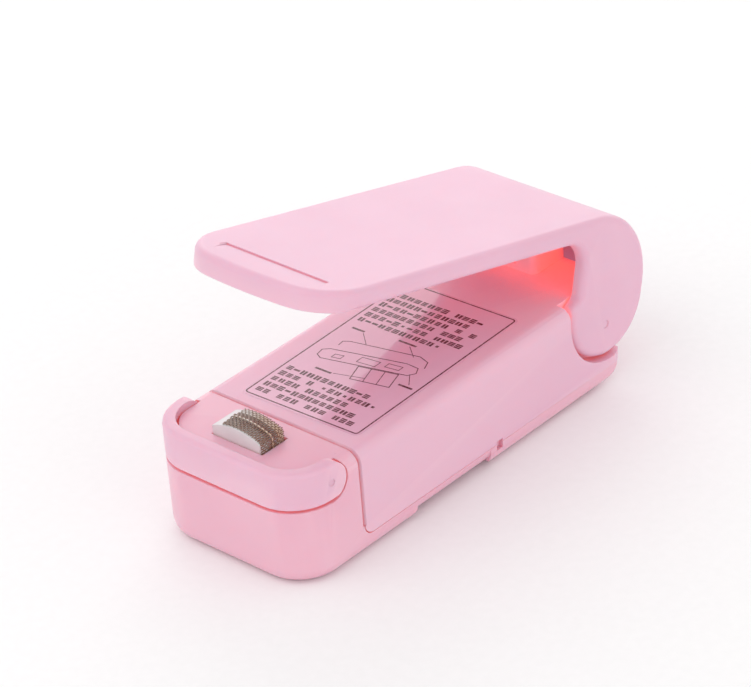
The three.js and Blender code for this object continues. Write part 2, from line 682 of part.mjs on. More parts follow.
// ---- assembly ------------------------------------------------------------
const PINK = 0xf2b7cb;
const COLOURS = {
  body: PINK,
  nose: 0xeab4c6,
  ceramic: 0xf3f2f0,
  cloth: 0x8a6a55,
  steel: 0xc9ccd0,
  brass: 0xc9a24a,
  silicone: 0xd8d4cf,
  jacket: 0x3c6e9a,
  red: 0xb3372f,
  black: 0x26262a,
  cover: 0xf0b3c8,
};

function mesh(name, geometry, colour, roughness = 0.35, metalness = 0) {
  const material = new THREE.MeshStandardMaterial({ color: colour, roughness, metalness });
  material.name = `${name}_finish`;
  const node = new THREE.Mesh(geometry, material);
  node.name = name;
  return node;
}

const solidMesh = (name, solid, ...look) => mesh(name, toGeometry(mainPiece(solid)), ...look);

function baseParts() {
  const blank = bodyBlank();
  const group = new THREE.Group();
  group.name = 'base';
  group.add(
    solidMesh('nose_frame', noseFrame(blank), COLOURS.nose),
    solidMesh('body_shell', bodyShell(blank), COLOURS.body),
    solidMesh('hinge_rod', rodX(-17.8, 17.8, at(PIVOT_S), PIVOT_Z, PIVOT_RADIUS), COLOURS.steel, 0.3, 1),
    mesh('return_spring', returnSpring(), COLOURS.steel, 0.3, 1),
  );
  [-1, 1].forEach((side) => {
    const name = side < 0 ? 'left' : 'right';
    const pin = rodX(side * 16.1 - 1.75, side * 16.1 + 1.75, at(BAIL_PIVOT_S), BAIL_PIVOT_Z, 1.1);
    group.add(
      solidMesh(`bail_pin_${name}`, pin, COLOURS.steel, 0.3, 1),
      solidMesh(`switch_leaf_${name}`, switchLeaf(side), COLOURS.brass, 0.35, 1),
      mesh(`heater_spring_${name}`, heaterSpring(HEATER_X + side * HEATER_SPRING_X), COLOURS.steel, 0.3, 1),
    );
  });
  return group;
}

function powerParts() {
  const group = new THREE.Group();
  group.name = 'power';
  [-1, 1].forEach((side) => {
    const name = side < 0 ? 'left' : 'right';
    const battery = mesh(`cell_${name}`, cell(side > 0), COLOURS.jacket, 0.3);
    battery.position.set(side * CELL_X, at(CELL_FRONT_S), CELL_Z);
    const plate = contactPlate(side * CELL_X - 5.6, side * CELL_X + 5.6, 18.9);
    group.add(battery, solidMesh(`front_contact_${name}`, plate, COLOURS.steel, 0.3, 1));
  });
  const rear = contactPlate(-CELL_X - 5.6, CELL_X + 5.6, 73.6);
  const frontSpring = mesh('cell_spring_front', contactSpring(2.2), COLOURS.steel, 0.3, 1);
  frontSpring.position.set(-CELL_X, at(19.75), CELL_Z);
  group.add(solidMesh('rear_contact', rear, COLOURS.steel, 0.3, 1), frontSpring);
  const red = leadWire([[10, 16.2, 6], [10.4, 12.5, 5.2], [8.6, 9, 5], [7.2, 7, 7.9]]);
  const black = leadWire([[-10, 16.2, 6], [-10.4, 12.5, 5.2], [-8.6, 9, 5], [-7.2, 7, 7.9]]);
  group.add(mesh('lead_wire_red', red, COLOURS.red), mesh('lead_wire_black', black, COLOURS.black));
  return group;
}

function heaterParts() {
  const group = new THREE.Group();
  group.name = 'heater';
  group.position.x = HEATER_X;
  group.add(
    solidMesh('ceramic_block', ceramicBlock(), COLOURS.ceramic, 0.5),
    solidMesh('heating_ribbon', heatingRibbon(), COLOURS.steel, 0.35, 1),
    solidMesh('ptfe_cloth', ptfeCloth(), COLOURS.cloth, 0.7),
  );
  return group;
}

function leverParts() {
  const group = new THREE.Group();
  group.name = 'lever';
  group.position.set(0, at(PIVOT_S), PIVOT_Z);
  group.rotation.x = -degrees(OPEN_ANGLE);
  group.add(
    solidMesh('lever_shell', leverShell(), COLOURS.body),
    solidMesh('pad_holder', padHolder(), COLOURS.nose),
    solidMesh('pressure_pad', pressurePad(), COLOURS.silicone, 0.8),
  );
  return group;
}

const root = new THREE.Group();
root.name = 'bag_heat_sealer';
root.add(baseParts(), powerParts(), heaterParts(), leverParts());
root.add(solidMesh('battery_cover', batteryCover(bodyBlank()), COLOURS.cover));
root.add(solidMesh('bail', bail(), COLOURS.body));

export default root;
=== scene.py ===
import math
import random

import bmesh
import bpy
from mathutils import Matrix, Vector


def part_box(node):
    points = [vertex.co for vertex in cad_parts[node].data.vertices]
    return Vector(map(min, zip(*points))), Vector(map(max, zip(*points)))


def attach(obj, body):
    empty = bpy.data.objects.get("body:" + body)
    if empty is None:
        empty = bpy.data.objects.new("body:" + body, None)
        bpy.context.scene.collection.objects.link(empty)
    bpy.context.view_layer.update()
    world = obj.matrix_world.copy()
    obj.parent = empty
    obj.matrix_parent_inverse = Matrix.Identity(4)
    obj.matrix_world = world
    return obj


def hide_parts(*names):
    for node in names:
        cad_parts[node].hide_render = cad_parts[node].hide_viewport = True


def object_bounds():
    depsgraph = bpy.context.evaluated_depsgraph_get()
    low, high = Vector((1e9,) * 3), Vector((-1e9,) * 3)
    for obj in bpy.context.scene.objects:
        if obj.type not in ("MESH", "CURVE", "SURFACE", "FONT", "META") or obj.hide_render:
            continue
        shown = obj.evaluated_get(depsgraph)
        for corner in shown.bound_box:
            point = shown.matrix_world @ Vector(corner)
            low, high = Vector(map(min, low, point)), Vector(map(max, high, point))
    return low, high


# Handheld bag heat sealer: looks, label, cloth, floor, light and camera, all in metres.
MM = 0.001

# ---- camera -----------------------------------------------------------------
AZIMUTH = 43.98                 # degrees round from the nose, towards the right side
ELEVATION = 31.13
ROLL = -4.81
LENS = 165.5                    # mm, on a 36 mm sensor
DISTANCE = 0.6397
AIM_RIGHT = -0.00456            # where the camera looks, from the middle of the object's box
AIM_UP = -0.00544

# ---- label ------------------------------------------------------------------
LABEL_TURN = 1.94               # degrees that the printed frame sits askew
LABEL_HALF = 13.46 * MM         # half width of the printed frame
LABEL_LENGTH = 46.9 * MM
LABEL_BEHIND_NOSE = 20.1 * MM   # from the front of the body to the frame's front line
LABEL_X = 0.6 * MM
LABEL_MARGIN = 0.45 * MM        # clear film outside the frame
LABEL_CORNER = 0.8 * MM
LABEL_LINE = 0.3 * MM           # width of the frame's line
ROW_PITCH = 2.15 * MM
MARK_STEP = 1.66 * MM
MARK_SIZE = 1.5 * MM
FILM = 0.05 * MM
INK = 0.012 * MM

# ---- plastic ------------------------------------------------------------------
PINK = (0.80, 0.48, 0.61, 1.0)
NOSE_PINK = (0.83, 0.46, 0.57, 1.0)
WORN_PINK = (0.94, 0.64, 0.71, 1.0)
PAINTED_WARM_SHADE = (1.0, 0.33, 0.32, 1.0)     # painted warm shade for the seams and for the room under the lever
GLOW = (1.0, 0.13, 0.10, 1.0)       # stands in for light that comes through the thin shell
SUBSURFACE = 0.5
SUBSURFACE_DEPTH = 1.3 * MM
SUBSURFACE_SPREAD = (1.0, 0.4, 0.35)
EDGE_RADIUS = 0.25 * MM
EDGE_POINTINESS = (0.52, 0.6)       # from where an edge begins to look worn to fully worn
RIM_JOINT = 4.0 * MM                # height of the level joint round the bottom
RIM_CATCH = 0.07 * MM               # how near to that height both edges of the joint lie
FULLY_SHADED = 0.95
SEAM_REACH = 1.6 * MM               # how far the painted warm shade of the seams reaches
SEAM_FROM = 0.45                    # how shaded a point is where the painted shade begins
SEAM_LEVELS = (2 * MM, 4 * MM)      # heights between which it sets in, clear of the floor
# how strongly the seams take the painted shade, and how much painted glow they give
SEAM_PAINTED_SHADE = 0.6
SEAM_GLOW = 0.1
ROOM_REACH = 16 * MM                # the same for the shaded room under the lever
ROOM_FROM = 0.25
ROOM_LEVELS = (15 * MM, 22 * MM)
ROOM_FRONT = (-18 * MM, 12 * MM)    # where it sets in along the body
ROOM_REAR = (39 * MM, 43 * MM)      # and where it ends, short of the open rear
# how strongly the room under the lever takes the painted shade, and how much painted glow it gives
ROOM_PAINTED_SHADE = 0.9
ROOM_GLOW = 0.66

# ---- cloth over the heater ----------------------------------------------------
CLOTH_RADIUS = 14.44 * MM       # crown of the block and the cloth on it
THREAD_PITCH = 0.46 * MM
THREAD_RADIUS = 0.13 * MM
THREAD_SIDES = 6
RIDGE_HEIGHT = 0.28 * MM        # where the ribbon lifts the cloth
RIDGE_WIDTH = 0.75 * MM

# ---- light ---------------------------------------------------------------------
WORLD_LIGHT = 0.86
LAMPS = (                           # name, azimuth, elevation, distance, size, power
    ("key", -25, 48, 0.9, 0.8, 1.3),
    ("back", 220, 20, 0.9, 0.9, 2.0),
    ("fill", 82, 10, 0.9, 0.6, 0.9),
)


# ---- node helpers ---------------------------------------------------------------
def new_material(name):
    material = bpy.data.materials.new(name)
    material.use_nodes = True
    tree = material.node_tree
    tree.nodes.clear()
    output = tree.nodes.new("ShaderNodeOutputMaterial")
    shader = tree.nodes.new("ShaderNodeBsdfPrincipled")
    tree.links.new(shader.outputs["BSDF"], output.inputs["Surface"])
    return material, tree, shader


def object_point(tree):
    return tree.nodes.new("ShaderNodeTexCoord").outputs["Object"]


def component(tree, point, axis):
    separate = tree.nodes.new("ShaderNodeSeparateXYZ")
    tree.links.new(point, separate.inputs["Vector"])
    return separate.outputs[axis]


def noise(tree, point, scale, detail=3.0, roughness=0.5, stretch=None):
    if stretch is not None:
        mapping = tree.nodes.new("ShaderNodeMapping")
        mapping.inputs["Scale"].default_value = stretch
        tree.links.new(point, mapping.inputs["Vector"])
        point = mapping.outputs["Vector"]
    node = tree.nodes.new("ShaderNodeTexNoise")
    node.inputs["Scale"].default_value = scale
    node.inputs["Detail"].default_value = detail
    node.inputs["Roughness"].default_value = roughness
    tree.links.new(point, node.inputs["Vector"])
    return node.outputs["Fac"]


def remap(tree, value, low, high, to_low, to_high):
    node = tree.nodes.new("ShaderNodeMapRange")
    node.inputs["From Min"].default_value = low
    node.inputs["From Max"].default_value = high
    node.inputs["To Min"].default_value = to_low
    node.inputs["To Max"].default_value = to_high
    tree.links.new(value, node.inputs["Value"])
    return node.outputs["Result"]


def math_node(tree, operation, first, second):
    node = tree.nodes.new("ShaderNodeMath")
    node.operation = operation
    for socket, value in zip(node.inputs, (first, second)):
        if isinstance(value, (int, float)):
            socket.default_value = value
        else:
            tree.links.new(value, socket)
    return node.outputs["Value"]


def mix_colour(tree, factor, first, second):
    node = tree.nodes.new("ShaderNodeMix")
    node.data_type = "RGBA"
    for name, value in (("Factor_Float", factor), ("A_Color", first), ("B_Color", second)):
        socket = next(s for s in node.inputs if s.identifier == name)
        if hasattr(value, "is_linked"):
            tree.links.new(value, socket)
        else:
            socket.default_value = value
    return next(s for s in node.outputs if s.identifier == "Result_Color")


def bump(tree, shader, height, distance, strength=1.0, normal=None):
    node = tree.nodes.new("ShaderNodeBump")
    node.inputs["Strength"].default_value = strength
    node.inputs["Distance"].default_value = distance
    tree.links.new(height, node.inputs["Height"])
    if normal is not None:
        tree.links.new(normal, node.inputs["Normal"])
    tree.links.new(node.outputs["Normal"], shader.inputs["Normal"])


def set_roughness(tree, shader, value, low, high):
    """Roughness from low to high across the middle of a noise."""
    tree.links.new(remap(tree, value, 0.3, 0.7, low, high), shader.inputs["Roughness"])


def soft_edges(tree, radius):
    node = tree.nodes.new("ShaderNodeBevel")
    node.samples = 4
    if isinstance(radius, float):
        node.inputs["Radius"].default_value = radius
    else:
        tree.links.new(radius, node.inputs["Radius"])
    return node.outputs["Normal"]


def tight_at_rim(tree, point, radius):
    """The edge radius everywhere but at the level joint of the rim, which is a bare hairline."""
    above = math_node(tree, "SUBTRACT", component(tree, point, "Z"), RIM_JOINT)
    away = math_node(tree, "ABSOLUTE", above, 0.0)
    return remap(tree, away, 0.35 * MM, 0.6 * MM, 0.0, radius)


def convex_edges(tree):
    geometry = tree.nodes.new("ShaderNodeNewGeometry")
    return remap(tree, geometry.outputs["Pointiness"], *EDGE_POINTINESS, 0.0, 1.0)


def crevices(tree, distance):
    node = tree.nodes.new("ShaderNodeAmbientOcclusion")
    node.samples = 8
    node.inputs["Distance"].default_value = distance
    return math_node(tree, "SUBTRACT", 1.0, node.outputs["AO"])


def shaded_places(tree, point):
    """Two masks for painted shade and painted glow, for narrow seams and for the room under the lever,
    both clear of the floor.
    """
    height = component(tree, point, "Z")
    along = component(tree, point, "Y")
    off_floor = remap(tree, height, *SEAM_LEVELS, 0.0, 1.0)
    high_up = remap(tree, height, *ROOM_LEVELS, 0.0, 1.0)
    behind_front = remap(tree, along, *ROOM_FRONT, 0.0, 1.0)
    before_rear = remap(tree, along, *ROOM_REAR, 1.0, 0.0)
    seam_painted_light = remap(tree, crevices(tree, SEAM_REACH), SEAM_FROM, FULLY_SHADED, 0.0, 1.0)
    room = remap(tree, crevices(tree, ROOM_REACH), ROOM_FROM, FULLY_SHADED, 0.0, 1.0)
    place = math_node(tree, "MULTIPLY", high_up, math_node(tree, "MULTIPLY", behind_front, before_rear))
    return math_node(tree, "MULTIPLY", seam_painted_light, off_floor), math_node(tree, "MULTIPLY", room, place)


# ---- materials --------------------------------------------------------------------
def moulded_plastic(name, colour, painted_shade, roughness=0.4):
    """Satin ABS: fine spark texture, slight flow marks, paler worn edges, and painted warm shade and glow
    in shaded places.

    The glow in the shaded places imitates light through the shell; no light passes through it.
    """
    material, tree, shader = new_material(name)
    point = object_point(tree)
    flow = noise(tree, point, 55.0, 4.0, 0.55, stretch=(1.0, 0.45, 1.0))
    speck = noise(tree, point, 2600.0, 2.0)
    smear = noise(tree, point, 120.0, 4.0, 0.55)
    pale = tuple(min(1.0, c * 1.02) for c in colour[:3]) + (1.0,)
    dark = tuple(c * 0.98 for c in colour[:3]) + (1.0,)
    tint = mix_colour(tree, remap(tree, flow, 0.3, 0.7, 0.0, 1.0), dark, pale)
    worn = math_node(tree, "MULTIPLY", convex_edges(tree), 0.3)
    tint = mix_colour(tree, worn, tint, WORN_PINK)
    seam_painted_light, room = shaded_places(tree, point)
    # painted shade: the seams and the room under the lever turn salmon where ambient occlusion finds them
    # shaded
    tint = mix_colour(tree, math_node(tree, "MULTIPLY", seam_painted_light, SEAM_PAINTED_SHADE), tint, painted_shade)
    tint = mix_colour(tree, math_node(tree, "MULTIPLY", room, ROOM_PAINTED_SHADE), tint, painted_shade)
    # painted glow: the seams and the room under the lever emit red light, though no lamp is there
    shader.inputs["Emission Color"].default_value = GLOW
    glow = math_node(tree, "ADD", math_node(tree, "MULTIPLY", room, ROOM_GLOW),
                     math_node(tree, "MULTIPLY", seam_painted_light, SEAM_GLOW))
    tree.links.new(glow, shader.inputs["Emission Strength"])
    tree.links.new(tint, shader.inputs["Base Color"])
    finish = remap(tree, smear, 0.25, 0.75, roughness - 0.03, roughness + 0.05)
    tree.links.new(finish, shader.inputs["Roughness"])
    shader.inputs["IOR"].default_value = 1.48
    shader.inputs["Subsurface Weight"].default_value = SUBSURFACE
    shader.inputs["Subsurface Radius"].default_value = SUBSURFACE_SPREAD
    shader.inputs["Subsurface Scale"].default_value = SUBSURFACE_DEPTH
    edges = soft_edges(tree, tight_at_rim(tree, point, EDGE_RADIUS))
    bump(tree, shader, speck, 0.003 * MM, 0.4, edges)
    return material


def label_film(colour):
    """Clear glossy film over the printed panel, with the faint ripple of a hand-laid sticker."""
    material, tree, shader = new_material("label_film")
    point = object_point(tree)
    ripple = noise(tree, point, 90.0, 2.0)
    streak = noise(tree, point, 60.0, 3.0, stretch=(6.0, 1.0, 1.0))
    dark = tuple(c * 0.97 for c in colour[:3]) + (1.0,)
    tint = mix_colour(tree, remap(tree, streak, 0.3, 0.7, 0.0, 1.0), dark, colour)
    tree.links.new(tint, shader.inputs["Base Color"])
    set_roughness(tree, shader, streak, 0.05, 0.11)
    shader.inputs["IOR"].default_value = 1.55
    bump(tree, shader, ripple, 0.004 * MM, 0.3)
    return material


def printed_ink():
    material, tree, shader = new_material("label_ink")
    point = object_point(tree)
    worn = noise(tree, point, 900.0, 3.0)
    tint = mix_colour(tree, remap(tree, worn, 0.35, 0.75, 0.0, 1.0),
                      (0.075, 0.012, 0.024, 1.0), (0.17, 0.045, 0.06, 1.0))
    tree.links.new(tint, shader.inputs["Base Color"])
    set_roughness(tree, shader, worn, 0.18, 0.32)
    bump(tree, shader, worn, 0.003 * MM, 0.4)
    return material


def glazed_ceramic():
    material, tree, shader = new_material("ceramic_white")
    point = object_point(tree)
    cloud = noise(tree, point, 260.0, 4.0)
    grit = noise(tree, point, 3000.0, 2.0)
    tint = mix_colour(tree, remap(tree, cloud, 0.35, 0.7, 0.0, 1.0),
                      (0.80, 0.80, 0.82, 1.0), (0.90, 0.90, 0.91, 1.0))
    worn = math_node(tree, "MULTIPLY", convex_edges(tree), 0.3)
    tint = mix_colour(tree, worn, tint, (0.62, 0.58, 0.55, 1.0))
    tree.links.new(tint, shader.inputs["Base Color"])
    set_roughness(tree, shader, cloud, 0.32, 0.5)
    bump(tree, shader, grit, 0.006 * MM, 0.6, soft_edges(tree, 0.2 * MM))
    return material


def coated_threads(name, worn_end, scorched_end):
    """PTFE-coated glass yarn: pale where it is cool, browner towards the end that gets hot."""
    material, tree, shader = new_material(name)
    point = object_point(tree)
    patch = noise(tree, point, 420.0, 4.0, 0.6)
    fibre = noise(tree, point, 4200.0, 2.0)
    across = remap(tree, component(tree, point, "X"), -4.0 * MM, 4.5 * MM, 0.0, 1.0)
    scorch = math_node(tree, "ADD", across, remap(tree, patch, 0.3, 0.7, -0.35, 0.35))
    tint = mix_colour(tree, remap(tree, scorch, 0.0, 1.0, 0.0, 1.0), worn_end, scorched_end)
    tint = mix_colour(tree, remap(tree, fibre, 0.55, 0.8, 0.0, 0.4), tint, (0.70, 0.64, 0.58, 1.0))
    tree.links.new(tint, shader.inputs["Base Color"])
    set_roughness(tree, shader, fibre, 0.2, 0.4)
    shader.inputs["Coat Weight"].default_value = 0.4
    shader.inputs["Coat Roughness"].default_value = 0.12
    bump(tree, shader, fibre, 0.01 * MM, 0.7)
    return material


def metal(name, colour, roughness):
    """Drawn metal with a fine grain along X and dull patches."""
    material, tree, shader = new_material(name)
    point = object_point(tree)
    grain = noise(tree, point, 900.0, 3.0, stretch=(1.0, 14.0, 14.0))
    patch = noise(tree, point, 210.0, 4.0, 0.6)
    tint = mix_colour(tree, remap(tree, patch, 0.5, 0.8, 0.0, 0.4), colour, (0.5, 0.46, 0.42, 1.0))
    tree.links.new(tint, shader.inputs["Base Color"])
    shader.inputs["Metallic"].default_value = 1.0
    set_roughness(tree, shader, grain, roughness - 0.07, roughness + 0.09)
    bump(tree, shader, grain, 0.003 * MM, 0.5)
    return material


def silicone_rubber():
    material, tree, shader = new_material("silicone_pad")
    point = object_point(tree)
    dust = noise(tree, point, 700.0, 5.0, 0.65)
    pores = noise(tree, point, 2400.0, 2.0)
    tint = mix_colour(tree, remap(tree, dust, 0.4, 0.8, 0.0, 1.0),
                      (0.60, 0.55, 0.52, 1.0), (0.72, 0.68, 0.65, 1.0))
    tree.links.new(tint, shader.inputs["Base Color"])
    set_roughness(tree, shader, dust, 0.55, 0.78)
    bump(tree, shader, pores, 0.012 * MM, 0.7, soft_edges(tree, 0.15 * MM))
    return material


def coloured_insulation(name, colour):
    """Wire jacket with darker scuffs."""
    material, tree, shader = new_material(name)
    point = object_point(tree)
    scuff = noise(tree, point, 420.0, 4.0, 0.6)
    dark = tuple(c * 0.8 for c in colour[:3]) + (1.0,)
    tint = mix_colour(tree, remap(tree, scuff, 0.35, 0.7, 0.0, 1.0), colour, dark)
    tree.links.new(tint, shader.inputs["Base Color"])
    set_roughness(tree, shader, scuff, 0.34, 0.52)
    bump(tree, shader, scuff, 0.01 * MM, 0.4)
    return material


def cell_wrap():
    """Printed battery jacket: blue with one plain pale band near an end."""
    material, tree, shader = new_material("cell_jacket")
    point = object_point(tree)
    along = component(tree, point, "Y")
    band = math_node(tree, "MULTIPLY",
                     math_node(tree, "GREATER_THAN", along, 8 * MM),
                     math_node(tree, "LESS_THAN", along, 18.5 * MM))
    scuff = noise(tree, point, 240.0, 4.0, 0.6)
    base = mix_colour(tree, remap(tree, scuff, 0.35, 0.7, 0.0, 1.0),
                      (0.03, 0.13, 0.30, 1.0), (0.045, 0.17, 0.37, 1.0))
    tint = mix_colour(tree, band, base, (0.70, 0.72, 0.74, 1.0))
    tree.links.new(tint, shader.inputs["Base Color"])
    set_roughness(tree, shader, scuff, 0.22, 0.38)
    bump(tree, shader, scuff, 0.01 * MM, 0.4)
    return material


def floor_paper():
    material, tree, shader = new_material("floor_paper")
    point = object_point(tree)
    fibre = noise(tree, point, 500.0, 4.0)
    tint = mix_colour(tree, remap(tree, fibre, 0.3, 0.7, 0.0, 1.0),
                      (0.95, 0.945, 0.945, 1.0), (0.97, 0.965, 0.965, 1.0))
    tree.links.new(tint, shader.inputs["Base Color"])
    shader.inputs["Roughness"].default_value = 0.85
    bump(tree, shader, fibre, 0.01 * MM, 0.2)
    return material


# ---- finishing the carried-over nodes --------------------------------------------
def geometry_group(name):
    group = bpy.data.node_groups.new(name, "GeometryNodeTree")
    for way in ("INPUT", "OUTPUT"):
        group.interface.new_socket("Geometry", in_out=way, socket_type="NodeSocketGeometry")
    return group, group.nodes.new("NodeGroupInput"), group.nodes.new("NodeGroupOutput")


def smoothing_group():
    """Welds the faceted solid and marks the edges that stay sharp."""
    group, start, end = geometry_group("weld_and_smooth")
    nodes, links = group.nodes, group.links
    plain = nodes.new("GeometryNodeRemoveAttribute")
    plain.inputs["Name"].default_value = "custom_normal"
    weld = nodes.new("GeometryNodeMergeByDistance")
    weld.inputs["Distance"].default_value = 0.002 * MM
    smooth = nodes.new("GeometryNodeSetShadeSmooth")
    sharp = nodes.new("GeometryNodeSetShadeSmooth")
    sharp.domain = "EDGE"
    sharp.inputs["Shade Smooth"].default_value = False
    angle = nodes.new("GeometryNodeInputMeshEdgeAngle")
    compare = nodes.new("FunctionNodeCompare")
    compare.data_type = "FLOAT"
    compare.operation = "GREATER_THAN"
    compare.inputs["B"].default_value = math.radians(31)
    links.new(start.outputs[0], plain.inputs["Geometry"])
    links.new(plain.outputs["Geometry"], weld.inputs["Geometry"])
    links.new(weld.outputs["Geometry"], smooth.inputs["Geometry"])
    links.new(smooth.outputs["Geometry"], sharp.inputs["Geometry"])
    links.new(angle.outputs["Unsigned Angle"], compare.inputs["A"])
    links.new(compare.outputs["Result"], sharp.inputs["Selection"])
    links.new(sharp.outputs["Geometry"], end.inputs[0])
    return group


def rim_closing_group():
    """Brings both edges of the level hairline joint together, so that it reads as closed."""
    group, start, end = geometry_group("close_rim_joint")
    nodes, links = group.nodes, group.links
    place = nodes.new("GeometryNodeInputPosition")
    split = nodes.new("ShaderNodeSeparateXYZ")
    join = nodes.new("ShaderNodeCombineXYZ")
    near = nodes.new("FunctionNodeCompare")
    near.data_type = "FLOAT"
    near.operation = "EQUAL"
    near.inputs["B"].default_value = RIM_JOINT
    near.inputs["Epsilon"].default_value = RIM_CATCH
    move = nodes.new("GeometryNodeSetPosition")
    join.inputs["Z"].default_value = RIM_JOINT
    links.new(place.outputs["Position"], split.inputs["Vector"])
    links.new(split.outputs["X"], join.inputs["X"])
    links.new(split.outputs["Y"], join.inputs["Y"])
    links.new(split.outputs["Z"], near.inputs["A"])
    links.new(near.outputs["Result"], move.inputs["Selection"])
    links.new(join.outputs["Vector"], move.inputs["Position"])
    links.new(start.outputs[0], move.inputs["Geometry"])
    links.new(move.outputs["Geometry"], end.inputs[0])
    return group


def dress_node(obj, material, group):
    obj.data.materials.clear()
    obj.data.materials.append(material)
    obj.modifiers.new("weld", "NODES").node_group = group
    weighted = obj.modifiers.new("flat_faces_lead", "WEIGHTED_NORMAL")
    weighted.mode = "FACE_AREA"
    weighted.weight = 50
    weighted.keep_sharp = True


# ---- mesh helpers ---------------------------------------------------------------
def add_mesh(name, vertices, faces, material, smooth=False):
    mesh = bpy.data.meshes.new(name)
    mesh.from_pydata([tuple(v) for v in vertices], [], faces)
    mesh.validate()
    if smooth:
        mesh.shade_smooth()
    mesh.materials.append(material)
    obj = bpy.data.objects.new(name, mesh)
    bpy.context.scene.collection.objects.link(obj)
    return obj


def rounded_rectangle(half_x, half_y, radius, steps=8):
    points = []
    for cx, cy, start in ((1, -1, 270), (1, 1, 0), (-1, 1, 90), (-1, -1, 180)):
        for i in range(steps + 1):
            angle = math.radians(start + 90 * i / steps)
            points.append((cx * (half_x - radius) + radius * math.cos(angle),
                           cy * (half_y - radius) + radius * math.sin(angle)))
    return points


class FlatPrint:
    """Thin shapes printed on a plane, gathered into one mesh in the label's own frame."""

    def __init__(self, low, high):
        self.low = low
        self.high = high
        self.vertices = []
        self.faces = []

    def outline(self, points):
        base = len(self.vertices)
        count = len(points)
        for z in (self.low, self.high):
            self.vertices += [(x, y, z) for x, y in points]
        self.faces.append([base + i for i in reversed(range(count))])
        self.faces.append([base + count + i for i in range(count)])
        for i in range(count):
            j = (i + 1) % count
            self.faces.append([base + i, base + j, base + count + j, base + count + i])

    def ring(self, outer, inner):
        base = len(self.vertices)
        count = len(outer)
        for z in (self.low, self.high):
            self.vertices += [(x, y, z) for x, y in outer]
            self.vertices += [(x, y, z) for x, y in inner]
        for i in range(count):
            j = (i + 1) % count
            o0, o1, i0, i1 = base + i, base + j, base + count + i, base + count + j
            up = 2 * count
            self.faces.append([o0, i0, i1, o1])
            self.faces.append([o0 + up, o1 + up, i1 + up, i0 + up])
            self.faces.append([o0, o1, o1 + up, o0 + up])
            self.faces.append([i0, i0 + up, i1 + up, i1])

    def bar(self, x, y, width, height):
        half_x, half_y = width / 2, height / 2
        corners = ((-half_x, -half_y), (half_x, -half_y), (half_x, half_y), (-half_x, half_y))
        self.outline([(x + cx, y + cy) for cx, cy in corners])

    def stroke(self, points, width, closed=False):
        """A polyline of constant width with mitred corners."""
        points = [Vector(p) for p in points]
        count = len(points)
        sides = ([], [])
        for i, point in enumerate(points):
            before = points[i - 1] if i or closed else None
            after = points[(i + 1) % count] if i + 1 < count or closed else None
            first = (point - before).normalized() if before is not None else None
            second = (after - point).normalized() if after is not None else None
            first = first or second
            second = second or first
            across = Vector((-first.y, first.x)) + Vector((-second.y, second.x))
            across.normalize()
            reach = width / 2 / max(0.4, across.dot(Vector((-first.y, first.x))))
            sides[0].append(tuple(point + across * reach))
            sides[1].append(tuple(point - across * reach))
        if closed:
            self.ring(sides[1], sides[0])
        else:
            self.outline(sides[1] + sides[0][::-1])

    def add(self, name, material, place):
        obj = add_mesh(name, [place @ Vector(v) for v in self.vertices], self.faces, material)
        fix_normals(obj)
        return obj


def fix_normals(obj):
    work = bmesh.new()
    work.from_mesh(obj.data)
    bmesh.ops.recalc_face_normals(work, faces=work.faces)
    work.to_mesh(obj.data)
    work.free()


def tube(points, radius, sides):
    """Vertices and faces of a round wire along points."""
    points = [Vector(p) for p in points]
    vertices, faces = [], []
    normal = None
    for i, point in enumerate(points):
        ahead = points[min(i + 1, len(points) - 1)] - points[max(i - 1, 0)]
        ahead.normalize()
        if normal is None:
            normal = ahead.orthogonal()
        normal = (normal - ahead * normal.dot(ahead)).normalized()
        other = ahead.cross(normal)
        for k in range(sides):
            angle = 2 * math.pi * k / sides
            vertices.append(point + radius * (math.cos(angle) * normal + math.sin(angle) * other))
    for i in range(len(points) - 1):
        for k in range(sides):
            a, b = i * sides + k, i * sides + (k + 1) % sides
            faces.append([a, b, b + sides, a + sides])
    faces.append(list(reversed(range(sides))))
    faces.append([len(vertices) - sides + k for k in range(sides)])
    return vertices, faces


# ---- label ------------------------------------------------------------------------
def label_place(top, nose):
    middle = Vector((LABEL_X, nose + LABEL_BEHIND_NOSE + LABEL_LENGTH / 2, top))
    return Matrix.Translation(middle) @ Matrix.Rotation(math.radians(LABEL_TURN), 4, "Z")


def make_film(place, material):
    film = FlatPrint(-FILM, FILM)
    film.outline(rounded_rectangle(
        LABEL_HALF + LABEL_MARGIN, LABEL_LENGTH / 2 + LABEL_MARGIN, LABEL_CORNER + LABEL_MARGIN))
    return film.add("label_film", material, place)


def make_border(place, material):
    border = FlatPrint(FILM - INK, FILM + INK)
    border.ring(
        rounded_rectangle(LABEL_HALF, LABEL_LENGTH / 2, LABEL_CORNER),
        rounded_rectangle(
            LABEL_HALF - LABEL_LINE, LABEL_LENGTH / 2 - LABEL_LINE, LABEL_CORNER - LABEL_LINE))
    return border.add("label_border", material, place)


def print_mark(sheet, rng, x, y, size):
    """One generic block of a greeked line: a barred patch, a pair of bars or a short dash."""
    kind = rng.random()
    width = size * rng.uniform(0.78, 0.98)
    height = size * rng.uniform(0.8, 0.98)
    if kind < 0.5:
        for row in range(3):
            sheet.bar(x, y + (row - 1) * height * 0.36, width, height * 0.27)
    elif kind < 0.82:
        for column in (-1, 1):
            sheet.bar(x + column * width * 0.27, y, width * 0.4, height)
    elif kind < 0.94:
        sheet.bar(x, y, width, height * 0.4)
    else:
        sheet.bar(x, y, width * 0.45, height * 0.45)


def print_rows(sheet, rng, first_y, rows):
    """Lines of marks, each with its own ragged right end. The share is how full a line is."""
    left = -LABEL_HALF + 1.9 * MM
    room = 2 * LABEL_HALF - 3.6 * MM
    for row, share in enumerate(rows):
        y = first_y + row * ROW_PITCH
        for column in range(int(room * share / MARK_STEP)):
            if rng.random() > 0.06:
                print_mark(sheet, rng, left + column * MARK_STEP, y, MARK_SIZE)


